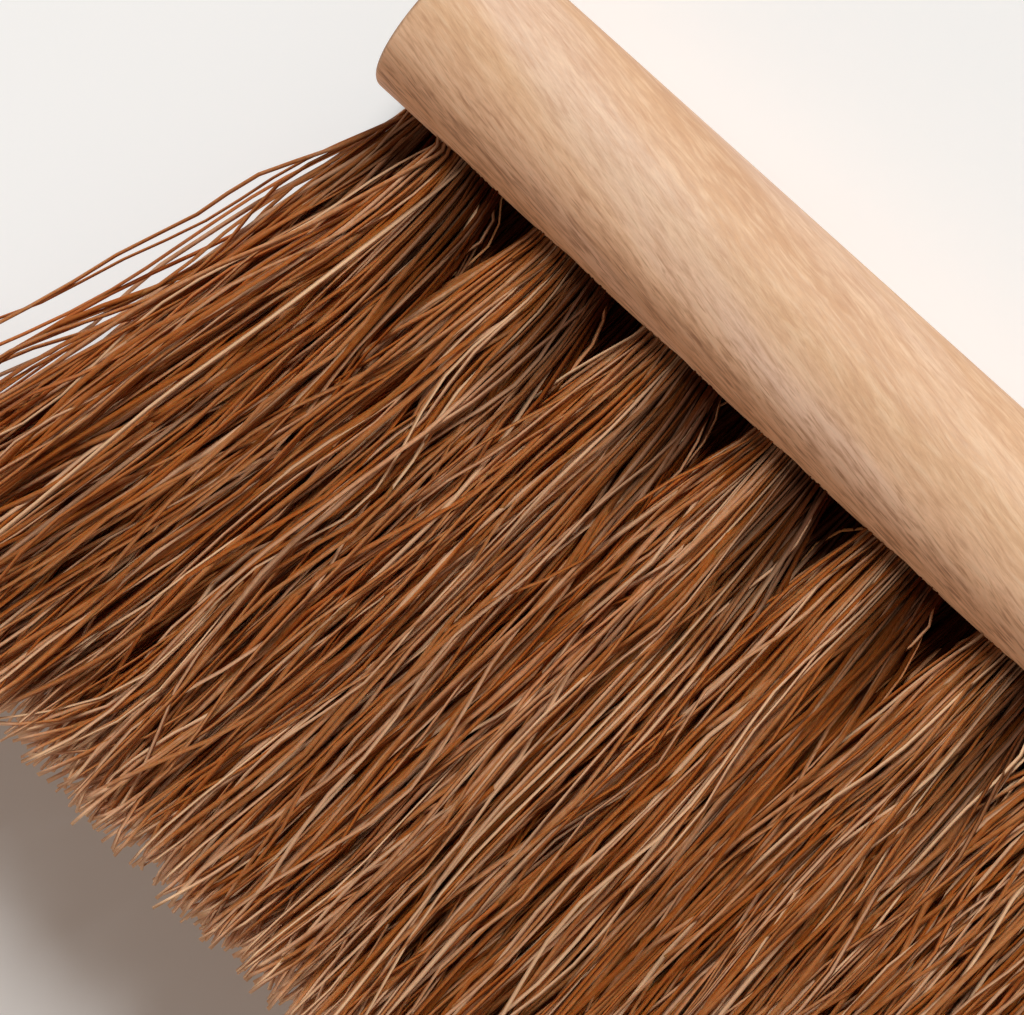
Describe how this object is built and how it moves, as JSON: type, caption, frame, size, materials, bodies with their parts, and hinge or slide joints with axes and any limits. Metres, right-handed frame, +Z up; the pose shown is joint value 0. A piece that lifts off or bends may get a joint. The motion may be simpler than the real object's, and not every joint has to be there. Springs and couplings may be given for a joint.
{
  "type": "fireplace brush",
  "caption": "Round wooden rod with staggered rows of long brown fibre tufts along one side, for sweeping ash from a hearth; the bare end is the handle.",
  "frame": {"origin": "centre of the rod's flat head end", "axes": "+X along the rod's axis from the head end to the handle end; the brush lies on its side, +Z up, with its bristles pointing to -Y"},
  "size_m": [0.4119, 0.138, 0.0312],
  "materials": {
    "beech": "satin",
    "plant_fibre": "matte",
    "staple_steel": "satin"
  },
  "bodies": {
    "root": {"rod": "beech", "tuft_upper_01": "plant_fibre", "tuft_upper_02": "plant_fibre", "tuft_upper_03": "plant_fibre", "tuft_upper_04": "plant_fibre", "tuft_upper_05": "plant_fibre", "tuft_upper_06": "plant_fibre", "tuft_upper_07": "plant_fibre", "tuft_upper_08": "plant_fibre", "tuft_upper_09": "plant_fibre", "tuft_upper_10": "plant_fibre", "tuft_upper_11": "plant_fibre", "tuft_upper_12": "plant_fibre", "tuft_lower_01": "plant_fibre", "tuft_lower_02": "plant_fibre", "tuft_lower_03": "plant_fibre", "tuft_lower_04": "plant_fibre", "tuft_lower_05": "plant_fibre", "tuft_lower_06": "plant_fibre", "tuft_lower_07": "plant_fibre", "tuft_lower_08": "plant_fibre", "tuft_lower_09": "plant_fibre", "tuft_lower_10": "plant_fibre", "tuft_lower_11": "plant_fibre", "tuft_lower_12": "plant_fibre", "staple_upper_01": "staple_steel", "staple_upper_02": "staple_steel", "staple_upper_03": "staple_steel", "staple_upper_04": "staple_steel", "staple_upper_05": "staple_steel", "staple_upper_06": "staple_steel", "staple_upper_07": "staple_steel", "staple_upper_08": "staple_steel", "staple_upper_09": "staple_steel", "staple_upper_10": "staple_steel", "staple_upper_11": "staple_steel", "staple_upper_12": "staple_steel", "staple_lower_01": "staple_steel", "staple_lower_02": "staple_steel", "staple_lower_03": "staple_steel", "staple_lower_04": "staple_steel", "staple_lower_05": "staple_steel", "staple_lower_06": "staple_steel", "staple_lower_07": "staple_steel", "staple_lower_08": "staple_steel", "staple_lower_09": "staple_steel", "staple_lower_10": "staple_steel", "staple_lower_11": "staple_steel", "staple_lower_12": "staple_steel"}
  },
  "joints": []
}
